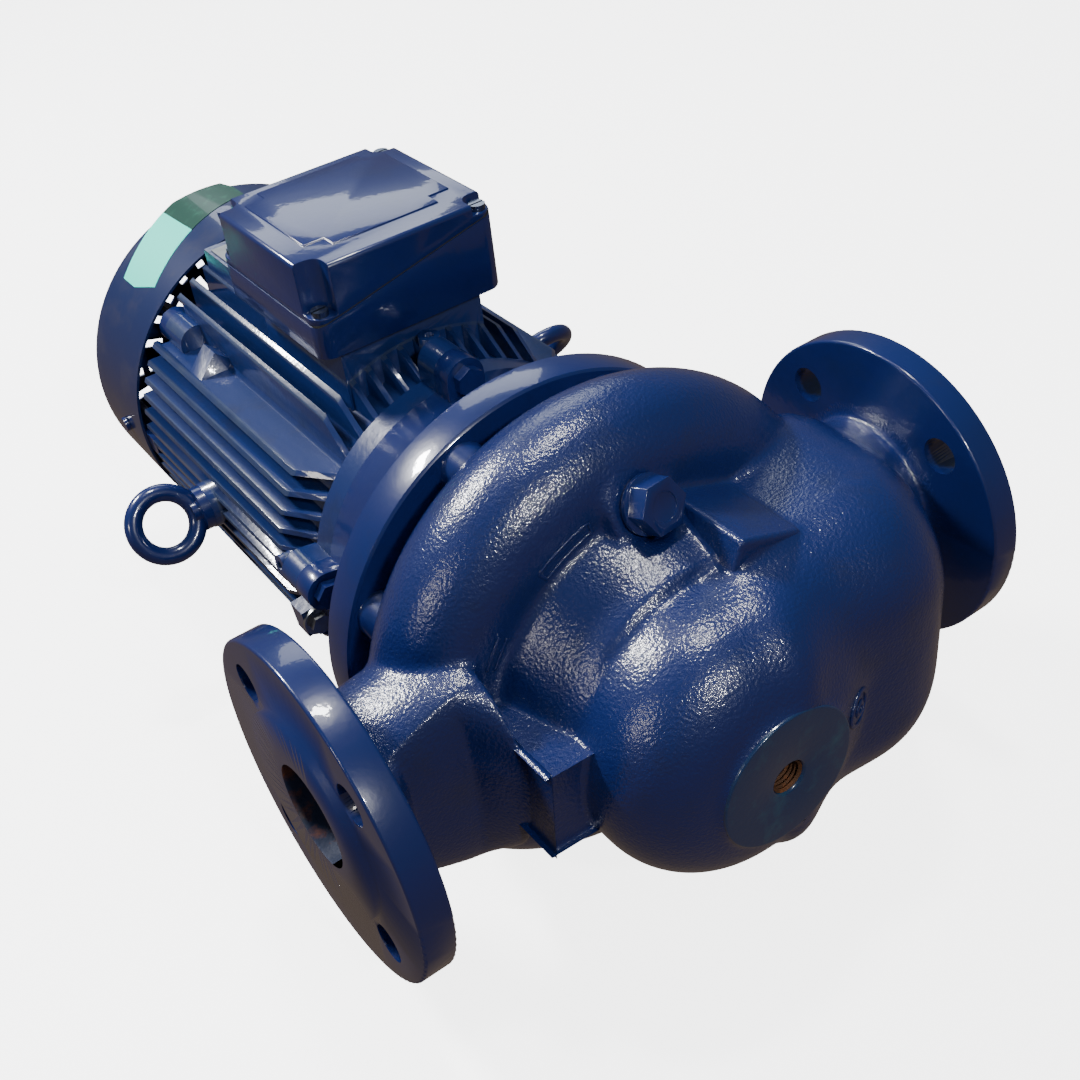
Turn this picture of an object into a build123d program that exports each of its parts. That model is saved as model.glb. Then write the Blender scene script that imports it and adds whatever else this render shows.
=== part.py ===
"""In-line centrifugal water pump with a close-coupled motor, built piece by piece.

Millimetres. Y is the shaft axis (the pump dome points to -Y, the fan to +Y), X runs along the pipe
(discharge flange at -X, suction at +X) and +Z is the terminal-box side. Everything is drawn about the
point where shaft and pipe axes cross, then save() slides it along Y so that the part's own origin is
the middle of the foot boss face.
"""
import os
from math import cos, sin, radians, pi
from build123d import *

# ---- pipe flanges, DN50 PN16 -------------------------------------------------------------------
DISCHARGE_X, SUCTION_X = -165.0, 185.0      # flange faces, measured from the shaft axis
FLANGE_D, FLANGE_T = 165.0, 19.0
RAISED_D, RAISED_H = 100.0, 3.0
BOLT_PCD, BOLT_HOLE_D = 125.0, 19.0
DISCHARGE_R, SUCTION_R = 25.0, 25.5
WALL = 7.0

# ---- volute casing -----------------------------------------------------------------------------
CASING_BACK_Y = 36.0                        # machined face the end shield bolts to
SCROLL_AT = (3.0, 2.5)                      # the scroll is a little off the shaft axis (x, z)
RIM_R, RIM_Y, RIM_TUBE = 95.0, 11.0, 31.0    # the scroll is a tube bent round the shaft
SCROLL_CAVITY = [(66, 26), (106, 26), (114, 16), (110, 2), (98, -8), (66, -10)]
NOSE_R, NOSE_Y, NOSE_CORNER = 70.5, -113.0, 40.0
DOME = [(0, -40, 66, 69.5, 40), (38, -39, 67, 74.5, 42), (70, -37, 68, 76.5, 44), (100, -34, 69, 75.5, 48),
        (124, -22, 64, 66, 50), (141, -10, 51.5, 51.5, 46), (154, -2, 43, 43, 41), (168, 0, 39, 39, 38.6)]
NECK = [(-150, 0, 39, 39, 38.6), (-140, -2, 41, 42, 39), (-125, -5, 42, 47, 39), (-108, -8, 43, 52, 39),
        (-88, -10, 44, 54, 40)]             # x, y, half width in y, half width in z, corner radius
BOSS_R, BOSS_Y = 35.5, -116.0               # foot boss on the dome
FOOT_HOLE_R, FOOT_HOLE_L = 7.0, 24.0        # M16 tapping hole
CASING_BORE_R = 70.0                        # hole the casing cover closes
EYE_R = 33.0
LUG_Y = -68.0

# ---- bolting between casing and motor ------------------------------------------------------------
BOLT_ANGLES = [22.5 + 45 * k for k in range(8)]
BOLT_CIRCLE_R, ARM_R = 100.0, 12.0
M8_R, M8_CLEAR_R = 4.0, 4.5

# ---- drive-end shield and motor frame ----------------------------------------------------------------
RING_Y0, RING_Y1, RING_R = 51.2, 71.0, 115.0
DRUM_R, DRUM_IN_R = 88.0, 80.0
FRAME_Y0, FRAME_Y1 = 118.0, 318.0
FRAME_R, FRAME_IN_R = 85.0, 79.0
FIN_TIP_R, FIN_T, FIN_PITCH = 99.0, 2.6, 9.6
FIN_Y0, FIN_Y1 = 131.0, 322.0              # a plain collar runs from the joint to FIN_Y0
EAR_ANGLES, EAR_R = [10, 90, 170, 270], 96.0
BACK_EAR_ANGLES, BACK_EAR_R = [45, 135, 225, 315], 88.0
EYE_Y = 237.0                               # lifting eyes stand on the sides of the frame

# ---- shaft line ------------------------------------------------------------------------------------
SHAFT = [(-13, -2, 5.0), (-2, 22, 9.0), (22, 64, 14.0), (64, 90, 15.0), (90, 300, 17.5),
         (300, 340, 15.0), (340, 377, 9.0)]  # y0, y1, radius
BEARING_R, BEARING_BORE_R, BEARING_W = 31.0, 15.0, 16.0
BEARING_DE_Y, BEARING_NDE_Y = 70.0, 316.0
IMPELLER_R = 64.0
CORE_Y0, CORE_Y1 = 142.0, 248.0
STATOR_BORE_R = 47.0

# ---- fan and cowl -----------------------------------------------------------------------------------
COWL_Y0, COWL_Y1, COWL_R, COWL_T = 330.5, 401.5, 100.0, 1.6
COWL_LUG_ANGLES, COWL_SCREW_Y = [3, 93, 183, 273], 358.0
FAN_Y0, FAN_R = 350.0, 82.0

# ---- terminal box -----------------------------------------------------------------------------------
BOX_X, BOX_Y0, BOX_Y1, BOX_Z0, BOX_Z1 = 52.5, 146.0, 249.5, 110.0, 157.5
SEAM_Z, SEAM_TILT = 138.75, 12.6            # the joint between base and lid rises toward +X
LID_SCREWS = [(sx * 46.5, y, 131.5 if sx < 0 else 152.0) for sx in (-1, 1) for y in (152.0, 243.5)]


# ============================ helpers ============================
def at(shape, x=0.0, y=0.0, z=0.0):
    return Pos(x, y, z) * shape


def rod(r, y0, y1, x=0.0, z=0.0):
    """A round bar along Y."""
    return Pos(x, (y0 + y1) / 2, z) * Rot(90, 0, 0) * Cylinder(r, y1 - y0)


def ring(r_out, r_in, y0, y1, x=0.0, z=0.0):
    return rod(r_out, y0, y1, x, z) - rod(r_in, y0 - 1, y1 + 1, x, z)


def rod_x(r, x0, x1, y=0.0, z=0.0):
    return Pos((x0 + x1) / 2, y, z) * Rot(0, 90, 0) * Cylinder(r, x1 - x0)


def rod_z(r, z0, z1, x=0.0, y=0.0):
    return Pos(x, y, (z0 + z1) / 2) * Cylinder(r, z1 - z0)


def block(x0, x1, y0, y1, z0, z1):
    return Pos((x0 + x1) / 2, (y0 + y1) / 2, (z0 + z1) / 2) * Box(x1 - x0, y1 - y0, z1 - z0)


def polar(shape, angle):
    """Turn a shape about the shaft axis; 0 is +X and 90 is +Z."""
    return Rot(0, -angle, 0) * shape


def turned(points, x=0.0, z=0.0):
    """Revolve a closed outline of (radius, y) points about the shaft direction."""
    face = make_face(Polyline([(r, y) for r, y in points], close=True))
    return Pos(x, 0, z) * revolve(face, Axis.Y)


def hex_along_y(across_flats, y0, y1):
    face = Plane.XZ * RegularPolygon(across_flats / 2, 6, major_radius=False)
    return Pos(0, y1, 0) * extrude(face, y1 - y0)


def hex_along_z(across_flats, z0, z1):
    return Pos(0, 0, z0) * extrude(RegularPolygon(across_flats / 2, 6, major_radius=False), z1 - z0)


def group(shapes):
    return Compound(children=list(shapes))


def save(shape, name):
    export_step(Pos(0, -BOSS_Y, 0) * shape, f"parts/{name}.step")


# ============================ volute casing ============================
def flange(face_x, side):
    """One pipe flange; side is -1 for discharge and +1 for suction."""
    back = face_x - side * FLANGE_T
    low, high = sorted((face_x - side * RAISED_H, back))
    disc = rod_x(FLANGE_D / 2, low, high)
    disc = fillet(disc.edges().filter_by(GeomType.CIRCLE), 1.5)
    low, high = sorted((face_x, face_x - side * (RAISED_H + 1)))
    disc += rod_x(RAISED_D / 2, low, high)
    for k in range(4):
        angle = radians(45 + 90 * k)
        y, z = BOLT_PCD / 2 * cos(angle), BOLT_PCD / 2 * sin(angle)
        disc -= rod_x(BOLT_HOLE_D / 2, low - 40, high + 40, y, z)
    return disc


def lofted(sections, wall=0.0):
    """A body through rounded rectangles square to X; wall shrinks every section."""
    faces = []
    for x, y, half_y, half_z, corner in sections:
        outline = RectangleRounded(2 * (half_y - wall), 2 * (half_z - wall), corner - wall)
        faces.append(Plane(origin=(x, y, 0), x_dir=(0, 1, 0), z_dir=(1, 0, 0)) * outline)
    return loft(faces)


def scroll():
    """The round rim of the volute and the drum that joins it to the dome."""
    back = (RIM_R + (RIM_TUBE ** 2 - (CASING_BACK_Y - RIM_Y) ** 2) ** 0.5, CASING_BACK_Y)
    middle = (RIM_R + RIM_TUBE * cos(radians(-20)), RIM_Y + RIM_TUBE * sin(radians(-20)))
    front = (88.0, RIM_Y - (RIM_TUBE ** 2 - 49.0) ** 0.5)
    outline = ThreePointArc(back, middle, front)
    outline += Polyline(front, (83.5, -21.5), (80, -32), (73, -56), (0, -56), (0, CASING_BACK_Y), back)
    return Pos(SCROLL_AT[0], 0, SCROLL_AT[1]) * revolve(make_face(outline.edges()), Axis.Y)


def nose(wall=0.0):
    """The round end of the dome over the impeller eye."""
    r, y, c = NOSE_R - wall, NOSE_Y + wall, NOSE_CORNER - wall
    bend = ThreePointArc((r - c, y), (r - c + c * sin(pi / 4), y + c - c * cos(pi / 4)), (r, y + c))
    outline = bend + Polyline((r, y + c), (r, -20), (0, -20), (0, y), (r - c, y))
    return revolve(make_face(outline.edges()), Axis.Y)


def lug(angle, height, t0, t1):
    """A flat cast lug beside the dome, reaching forward from the scroll."""
    return polar(block(55, height, LUG_Y, -6, t0, t1), angle)


PLUG_AT, PLUG_TILT = (2.5, -20.5, 90.0), 21.0
PLUG_FRAME = Location(PLUG_AT) * Rot(90 - PLUG_TILT, 0, 0) * Rot(0, 6, 0)    # local +Z leaves the casing


def volute_casing():
    body = scroll() + nose() + lofted(DOME)
    body += lofted(NECK)
    body -= rod(RING_R + 2, CASING_BACK_Y, 80)
    body += flange(DISCHARGE_X, -1) + flange(SUCTION_X, 1)
    body += rod(BOSS_R, BOSS_Y, -90)
    body += lug(70, 89, -23, 12) + lug(177, 88.5, -22, 24)
    body -= block(-120, 200, BOSS_Y - 30, BOSS_Y, -130, 130)    # one facing cut leaves the foot boss flat
    body += PLUG_FRAME * rod_z(18.5, -14, 4)
    body -= PLUG_FRAME * rod_z(15.5, 4, 24)
    # water passages
    body -= turned(SCROLL_CAVITY, *SCROLL_AT)
    body -= rod(CASING_BORE_R, -10, CASING_BACK_Y + 1)
    inside = lofted(DOME[:-2], WALL + 2) + nose(WALL + 2)
    body -= inside & (block(-90, 122, -120, -20, -99, 99) + block(122, 200, -120, 60, -99, 99))
    body += rod(EYE_R + 8, -46, -10)
    body -= rod(EYE_R, -47, 0)
    body -= rod_x(DISCHARGE_R, DISCHARGE_X - 1, -80) + rod_x(SUCTION_R, 120, SUCTION_X + 1)
    body += rod(BOSS_R - 4, BOSS_Y + 1, -84)
    body -= rod(FOOT_HOLE_R, BOSS_Y - 1, BOSS_Y + FOOT_HOLE_L)
    body -= PLUG_FRAME * rod_z(8.3, -30, 5)
    for angle in BOLT_ANGLES:
        body -= polar(rod(M8_R, 16, CASING_BACK_Y + 1, BOLT_CIRCLE_R), angle)
    return body


# ============================ casing cover, seal and small wet parts ============================
def casing_cover():
    outline = [(15, 29.5), (69.9, 29.5), (69.9, 36), (84, 36), (84, 44), (36, 44), (36, 49), (15, 49)]
    return turned(outline) - rod(24, 28, 43) - rod(20, 42, 47.5)


def impeller():
    front = turned([(28, -13), (32, -13), (32, -3), (40, 2.5), (64, 5), (64, 7.5), (40, 5.5), (28, -1)])
    back = turned([(9.02, -2), (15, -2), (17, 12), (30, 18), (64, 16.5), (64, 20), (30, 22), (9.02, 22)])
    wheel = front + back
    for n in range(6):
        edges = []
        for lead in (0, 7):
            edges.append([(r * cos(radians(a - lead + 60 * n)), r * sin(radians(a - lead + 60 * n)))
                          for r, a in ((30, 0), (47, -42), (63, -95))])
        outline = [ThreePointArc(*edges[0]), Line(edges[0][2], edges[1][2]),
                   ThreePointArc(*edges[1]), Line(edges[1][0], edges[0][0])]
        face = Plane.XZ * make_face(outline)
        blade = Pos(0, 18.4, 0) * extrude(face, 13)
        wheel += blade & turned([(20, 2), (40, 5), (66, 6.6), (66, 19), (20, 19)])
    return wheel - block(6, 11.6, -3, 23, -3, 3) - rod(9.02, -3, 23)


def seal_parts():
    save(ring(20, 14.05, 40.5, 43.5) + ring(17.5, 14.05, 36.5, 40.5), "seal_ring")
    coils = [ring(19.2, 15.6, 22.4 + 2.55 * k, 23.6 + 2.55 * k) for k in range(6)]
    links = [block(16.2, 18.6, 23.2 + 2.55 * k, 25.4 + 2.55 * k, -1, 1) for k in range(5)]
    spring = coils[0]
    for piece in coils[1:] + links:
        spring += piece
    save(spring, "seal_spring")
    save(ring(20, 14.6, 44, 47.5), "seal_seat")
    save(ring(24, 14.02, 51, 53) + ring(18, 14.02, 53, 57), "slinger")


# ============================ drive-end shield ============================
def ear(y0, y1, radius=EAR_R):
    """A square ear with a rounded outer end, drawn at 0 degrees."""
    return block(radius - 16, radius, y0, y1, -10.5, 10.5) + rod(10.5, y0, y1, radius)


def drive_end_shield():
    body = rod(RING_R, RING_Y0, RING_Y1)
    body = chamfer(body.edges().filter_by(GeomType.CIRCLE), 1.2)
    body += ring(DRUM_R, DRUM_IN_R, RING_Y1 - 1, FRAME_Y0)
    body += ring(80, 74, 44, RING_Y0 + 1)
    body += rod(42, RING_Y1 - 1, 94)
    for angle in BOLT_ANGLES:
        body += polar(rod(ARM_R, CASING_BACK_Y, RING_Y0 + 1, BOLT_CIRCLE_R), angle)
    for angle in EAR_ANGLES:
        body += polar(ear(106, FRAME_Y0), angle)
    body -= rod(DRUM_IN_R, 94, FRAME_Y0 + 1)
    body -= rod(BEARING_R, BEARING_DE_Y, 95)
    body -= rod(19, 50, BEARING_DE_Y + 1) + rod(34, 50, 60)
    for angle in BOLT_ANGLES:
        body -= polar(rod(M8_CLEAR_R, 30, RING_Y1 + 1, BOLT_CIRCLE_R), angle)
    for angle in EAR_ANGLES:
        body -= polar(rod(M8_CLEAR_R, 100, FRAME_Y0 + 1, EAR_R), angle)
    return body


def hex_bolt(x, head_y, length, direction, af=13.0, head=5.5, r=M8_R):
    """A hex bolt along Y; direction is the way its shank points."""
    tip = head_y + direction * length
    low, high = sorted((head_y, tip))
    shank = rod(r, low, high)
    low, high = sorted((head_y, head_y - direction * head))
    return Pos(x, 0, 0) * (shank + hex_along_y(af, low, high))


def washer(x, y0, y1, r_out=8.0, r_in=M8_CLEAR_R):
    return ring(r_out, r_in, y0, y1, x)


def lantern_guard():
    """Thin sheet strips that close the windows between the arms."""
    sheet = ring(86.8, 86.0, 38, 50.6)
    strips = []
    for angle in BOLT_ANGLES:
        strips.append(polar(sheet & block(0, 100, 37, 51, -26, 26), angle + 22.5))
    return group(strips)


# ============================ motor frame ============================
def finned_barrel():
    """Level fins on the two sides and upright fins above and below, cut to one round envelope."""
    outline = Circle(FRAME_R)
    for k in range(-6, 7):
        outline += Pos(k * FIN_PITCH, 0) * Rectangle(FIN_T, 2 * FIN_TIP_R)
        outline += Pos(0, k * FIN_PITCH) * Rectangle(2 * FIN_TIP_R, FIN_T)
    outline = (outline & Circle(FIN_TIP_R)) - Circle(FRAME_IN_R)
    face = Plane(origin=(0, FIN_Y0, 0), x_dir=(1, 0, 0), z_dir=(0, 1, 0)) * outline
    barrel = extrude(face, FIN_Y1 - FIN_Y0)
    barrel -= turned([(DRUM_R - 1, FIN_Y0 - 1), (FIN_TIP_R + 1, FIN_Y0 - 1), (FIN_TIP_R + 1, 152)])
    barrel += ring(DRUM_R, FRAME_IN_R, FRAME_Y0, FIN_Y0 + 0.5)
    return barrel - rod(FRAME_R + 0.5, FRAME_Y1, FIN_Y1 + 1)


def motor_frame():
    body = finned_barrel()
    for angle in EAR_ANGLES:
        body += polar(ear(FRAME_Y0, 133), angle)
    for angle in BACK_EAR_ANGLES:
        body -= polar(block(84, 120, 316, FIN_Y1 + 1, -13, 13), angle)
        body += polar(ear(296, FRAME_Y1, BACK_EAR_R), angle)
    for angle in COWL_LUG_ANGLES:
        body -= polar(block(84, 120, FRAME_Y1, FIN_Y1 + 1, -8, 8), angle)
    body += block(-41, 41, 152, 240, 70, 109)
    body += block(-38, 38, 252, 316, 70, 104)
    for side in (-1, 1):
        body += rod_x(13, *sorted((side * 78, side * 103)), EYE_Y, 0)
        body -= rod_x(5.0, *sorted((side * 84, side * 104)), EYE_Y, 0)
    body += polar(block(80, 97, 262, 276, -9, 9), 138)
    body += polar(block(80, 106, 118, 130, -8, 8), EARTH_ANGLE)
    for angle in (88, 172):
        body += polar(rod_x(5.5, 82, 103, 143), angle)
    body -= rod(FRAME_IN_R, FRAME_Y0 - 10, FRAME_Y1 + 10)
    for angle in EAR_ANGLES:
        body -= polar(rod(M8_R, FRAME_Y0 - 1, 130, EAR_R), angle)
    for angle in BACK_EAR_ANGLES:
        body -= polar(rod(M8_R, 300, FRAME_Y1 + 1, BACK_EAR_R), angle)
    for angle in (88, 172):
        body -= polar(rod_x(2.5, 92, 104, 143), angle)
    body -= block(-16, 16, 172, 212, 60, 112)
    for x, y in BOX_FIXINGS:
        body -= rod_z(2.5, 98, 111, x, y)
    for x, y in PLATE_RIVETS:
        body -= rod_z(1.2, 98, 105, x, y)
    body -= polar(rod(3.0, 117, 129, 99), EARTH_ANGLE)
    return body


BOX_FIXINGS = [(sx * 30.0, y) for sx in (-1, 1) for y in (160.0, 224.0)]
PLATE_Y, PLATE_RIVETS = (258.0, 310.0), [(-33.0, 284.0), (33.0, 284.0)]
EARTH_ANGLE = 184.0


def nde_shield():
    body = turned([(19, 318), (84.9, 318), (84.9, 324), (78, 330), (44, 334), (19, 338)])
    body += rod(42, 306, 334)
    for angle in BACK_EAR_ANGLES:
        body += polar(ear(FRAME_Y1, 326, BACK_EAR_R), angle)
    for angle in COWL_LUG_ANGLES:
        body += polar(block(78, 98.2, FRAME_Y1, 346, -6, 6) + block(86, 98.2, 340, 366, -6, 6), angle)
    body -= rod(BEARING_R, 300, BEARING_NDE_Y + BEARING_W + 1.2)
    body -= rod(16.5, 300, 345)
    for angle in BACK_EAR_ANGLES:
        body -= polar(rod(M8_CLEAR_R, 310, 330, BACK_EAR_R) + rod(8.5, 326, 340, BACK_EAR_R), angle)
    for angle in COWL_LUG_ANGLES:
        body -= polar(rod_x(2.0, 87, 100, COWL_SCREW_Y), angle)
    return body


# ============================ fan, cowl ============================
def cooling_fan():
    hub = ring(20, 9.05, FAN_Y0, FAN_Y0 + 24)
    fan = hub + ring(40, 18, FAN_Y0 + 18, FAN_Y0 + 22)
    for k in range(8):
        fan += polar(block(15, FAN_R, FAN_Y0 + 2, FAN_Y0 + 22, -1.2, 1.2), 45 * k)
    return fan


def fan_cowl():
    shell = rod(COWL_R, COWL_Y0, COWL_Y1)
    shell = fillet(shell.edges().filter_by(GeomType.CIRCLE).sort_by(Axis.Y)[-1], 9)
    inner = rod(COWL_R - COWL_T, COWL_Y0 - 5, COWL_Y1 - COWL_T)
    shell -= fillet(inner.edges().filter_by(GeomType.CIRCLE).sort_by(Axis.Y)[-1], 8)
    for row, count in enumerate((8, 16, 24, 32)):
        for k in range(count):
            shell -= polar(block(22 + 16 * row, 34 + 16 * row, 395, 405, -2.6, 2.6), 360 / count * k)
    for angle in COWL_LUG_ANGLES:
        shell -= polar(rod_x(2.6, 90, 105, COWL_SCREW_Y), angle)
    return shell


def pan_screw(r, length, head_r, head_h):
    """A pan-head screw pointing down from z = 0."""
    slot = block(-head_r, head_r, -0.6, 0.6, head_h * 0.5, 9)
    return rod_z(r, -length, 0) + rod_z(head_r, 0, head_h) - slot


# ============================ terminal box ============================
def rounded_block(x, y0, y1, z0, z1, radius):
    solid = block(-x, x, y0, y1, z0, z1)
    return fillet(solid.edges().filter_by(Axis.Z), radius)


def seam_slab(z0, z1):
    """A wide slab lying along the sloping joint of the terminal box."""
    return Pos(0, 0, SEAM_Z) * Rot(0, -SEAM_TILT, 0) * block(-90, 90, 100, 300, z0, z1)


def corner_pocket(x, y, floor, half):
    """An open notch over one lid screw; half is its half width."""
    sx, sy = (1 if x > 0 else -1), (1 if y > 200 else -1)
    shape = rod_z(half, floor, 170, x, y)
    shape += block(*sorted((x, x + 20 * sx)), *sorted((y - half * sy, y + 20 * sy)), floor, 170)
    return shape + block(*sorted((x - half * sx, x + 20 * sx)), *sorted((y, y + 20 * sy)), floor, 170)


def terminal_box_base():
    body = rounded_block(BOX_X, BOX_Y0, BOX_Y1, BOX_Z0, BOX_Z1, 8)
    body -= rounded_block(BOX_X - 4, BOX_Y0 + 4, BOX_Y1 - 4, BOX_Z0 + 4, BOX_Z1 + 5, 5)
    for x, y, floor in LID_SCREWS:
        body += rod_z(5.5, BOX_Z0 + 1, BOX_Z1, x, y)
    body -= seam_slab(0, 60)
    body -= block(-16, 16, 172, 212, 105, 120)
    body -= rod_x(8.0, 40, 60, 178, 129) + rod_x(8.0, 40, 60, 216, 129)
    for x, y, floor in LID_SCREWS:
        body -= rod_z(2.0, floor - 17, floor, x, y)
    for x, y in BOX_FIXINGS:
        body -= rod_z(2.9, 100, 125, x, y)
    return body


def terminal_box_lid():
    body = rounded_block(BOX_X, BOX_Y0, BOX_Y1, BOX_Z0, BOX_Z1, 8)
    body = fillet(body.faces().sort_by(Axis.Z)[-1].edges(), 2.5)
    hollow = rounded_block(BOX_X - 3.5, BOX_Y0 + 3.5, BOX_Y1 - 3.5, BOX_Z0 - 1, BOX_Z1 - 3.5, 5)
    for x, y, floor in LID_SCREWS:
        hollow -= corner_pocket(x, y, floor - 30, 9.0)
    body -= hollow + seam_slab(-60, 0.8)
    for x, y, floor in LID_SCREWS:
        body -= corner_pocket(x, y, floor, 6.5) + rod_z(2.4, floor - 20, floor + 1, x, y)
    body += block(-39.5, 43, 171, 233, BOX_Z1 - 1, BOX_Z1 + 0.7)
    body += block(-28, 31, 162, 242, BOX_Z1 - 1, BOX_Z1 + 0.7)
    return body


def box_gaskets():
    seat = block(-40.5, 40.5, 152.5, 239.5, 109, BOX_Z0) - block(-17, 17, 171, 213, 105, 120)
    lid = rounded_block(BOX_X - 0.6, BOX_Y0 + 0.6, BOX_Y1 - 0.6, BOX_Z0, BOX_Z1, 7)
    lid -= rounded_block(BOX_X - 4, BOX_Y0 + 4, BOX_Y1 - 4, BOX_Z0 - 2, BOX_Z1 + 2, 5)
    for x, y, floor in LID_SCREWS:
        lid += rod_z(5.5, BOX_Z0 + 1, BOX_Z1, x, y)
    lid &= seam_slab(0, 0.8)
    for x, y in BOX_FIXINGS:
        seat -= rod_z(3.2, 100, 120, x, y)
    for x, y, floor in LID_SCREWS:
        lid -= rod_z(2.4, floor - 20, floor + 1, x, y)
    save(seat, "box_seat_gasket")
    save(lid, "lid_gasket")


def terminal_parts():
    base_z = BOX_Z0 + 4
    board = block(-22, 22, 216, 232, base_z, base_z + 4) + block(-20, 20, 216.5, 231.5, base_z, base_z + 9)
    for x in (-6.5, 6.5):
        board += block(x - 0.8, x + 0.8, 216.5, 231.5, base_z + 8, base_z + 14)
    studs, links = [], []
    for x in (-13, 0, 13):
        for y in (220.5, 227.5):
            stud = rod_z(1.9, base_z + 9, base_z + 19, x, y)
            studs.append(stud + Pos(x, y, 0) * hex_along_z(6, base_z + 10, base_z + 13))
        links.append(block(x - 2.6, x + 2.6, 217.5, 230.5, base_z + 9, base_z + 10)
                     - rod_z(1.9, base_z, base_z + 20, x, 220.5) - rod_z(1.9, base_z, base_z + 20, x, 227.5))
    save(board, "terminal_board")
    save(group(studs), "terminal_studs")
    save(group(links), "terminal_links")


# ============================ lifting eye ============================
def eyebolt(side):
    """A forged M10 lifting eye screwed into the side of the frame."""
    seat = 103.0
    eye = Pos(seat + 24, 0, 0) * Rot(90, 0, 0) * Torus(17.5, 5.0)
    eye += rod_x(12.5, seat, seat + 5) + rod_x(7.0, seat + 4, seat + 9)
    eye += rod_x(4.95, seat - 16, seat + 1)
    eye = Rot(38 if side > 0 else 30, 0, 0) * eye
    eye = eye if side > 0 else Rot(0, 0, 180) * eye
    return Pos(0, EYE_Y, 0) * eye


# ============================ bearings ============================
def bearing(y0, tag):
    y1, mid, race_r, ball_r = y0 + BEARING_W, y0 + BEARING_W / 2, 23.0, 4.6
    groove = Pos(0, mid, 0) * Rot(90, 0, 0) * Torus(race_r, ball_r + 0.35)
    save(ring(BEARING_R, 26.4, y0, y1) - groove, f"bearing_outer_{tag}")
    save(ring(19.6, BEARING_BORE_R, y0, y1) - groove, f"bearing_inner_{tag}")
    balls, cage = [], ring(24.6, 21.4, mid - 4.2, mid + 4.2)
    for k in range(9):
        balls.append(polar(at(Sphere(ball_r), race_r, mid), 40 * k))
        cage -= polar(rod_x(ball_r, 10, 40, mid), 40 * k)
    save(group(balls), f"bearing_balls_{tag}")
    save(cage, f"bearing_cage_{tag}")


# ============================ rotating parts ============================
BARS = [360 / 20 * k for k in range(20)]


def shaft():
    body = rod(SHAFT[0][2], SHAFT[0][0], SHAFT[0][1])
    for y0, y1, r in SHAFT[1:]:
        body += rod(r, y0, y1)
    body -= block(5.4, 12, 3, 19, -3, 3)
    return chamfer(body.edges().filter_by(GeomType.CIRCLE).sort_by(Axis.Y)[-1], 1)


def rotor_parts():
    core = ring(STATOR_BORE_R - 0.5, 17.5, CORE_Y0 + 3, CORE_Y1 - 3)
    cage = ring(45, 27, CORE_Y0 - 9, CORE_Y0 + 3) + ring(45, 27, CORE_Y1 - 3, CORE_Y1 + 9)
    for angle in BARS:
        bar = polar(rod(2.6, CORE_Y0, CORE_Y1, 41), angle)
        core -= bar
        cage += bar
    for k in range(10):
        cage += polar(block(32, 42, CORE_Y0 - 16, CORE_Y0 - 8, -1.2, 1.2), 36 * k)
        cage += polar(block(32, 42, CORE_Y1 + 8, CORE_Y1 + 16, -1.2, 1.2), 36 * k)
    save(core, "rotor_core")
    save(cage, "rotor_cage")


def stator_parts():
    core = ring(FRAME_IN_R, STATOR_BORE_R, CORE_Y0, CORE_Y1)
    coils = ring(67, 50, CORE_Y0 - 18, CORE_Y0) + ring(67, 50, CORE_Y1, CORE_Y1 + 18)
    for k in range(24):
        slot = polar(block(50.5, 66, CORE_Y0, CORE_Y1, -3, 3), 15 * k)
        core -= slot + polar(block(46, 51, CORE_Y0 - 1, CORE_Y1 + 1, -1.2, 1.2), 15 * k)
        coils += slot
    save(core, "stator_core")
    save(coils, "stator_windings")


# ============================ small outside parts ============================
def vent_plug():
    plug = rod_z(8.28, -12, 5.5) + rod_z(13.5, 5.5, 8) + hex_along_z(22, 8, 18)
    return PLUG_FRAME * (plug - rod_z(6.5, 17.4, 19))


def cowl_label():
    patch = Rot(20, 0, 0) * block(90, 110, -18, 18, -46, 46)
    return polar(Pos(0, 379, 0) * patch, 107) & ring(COWL_R + 0.3, COWL_R, COWL_Y0, COWL_Y1)


def blanking_plugs():
    plugs = []
    for y in (178.0, 216.0):
        hexagon = Pos(BOX_X, y, 129) * Rot(0, 90, 0) * hex_along_z(20, 0, 5)
        plugs.append(rod_x(7.98, BOX_X - 6, BOX_X, y, 129) + hexagon)
    return group(plugs)


def earth_bolt():
    shank = rod(2.98, 112, 128, 99) + Pos(99, 0, 0) * hex_along_y(10, 112, 116)
    return polar(shank, EARTH_ANGLE)


# ============================ build everything ============================
os.makedirs("parts", exist_ok=True)

save(volute_casing(), "volute_casing")
save(ring(EYE_R, 32.35, -14.5, -11), "wear_ring")
save(casing_cover(), "casing_cover")
save(ring(CASING_BORE_R, 67, 27.5, 29.5), "casing_gasket")
seal_parts()
save(vent_plug(), "vent_plug")
save(PLUG_FRAME * (rod_z(12, 4, 5.5) - rod_z(8.4, 3, 7)), "vent_plug_washer")

save(drive_end_shield(), "drive_end_shield")
save(lantern_guard(), "lantern_guard")
heads = RING_Y1 + 1.6
save(group(polar(hex_bolt(BOLT_CIRCLE_R, heads, 52, -1, r=3.98), a) for a in BOLT_ANGLES), "casing_bolts")
save(group(polar(washer(BOLT_CIRCLE_R, RING_Y1, heads), a) for a in BOLT_ANGLES), "casing_bolt_washers")
save(group(polar(hex_bolt(EAR_R, 106, 22, 1, r=3.98), a) for a in EAR_ANGLES), "front_shield_bolts")

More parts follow.
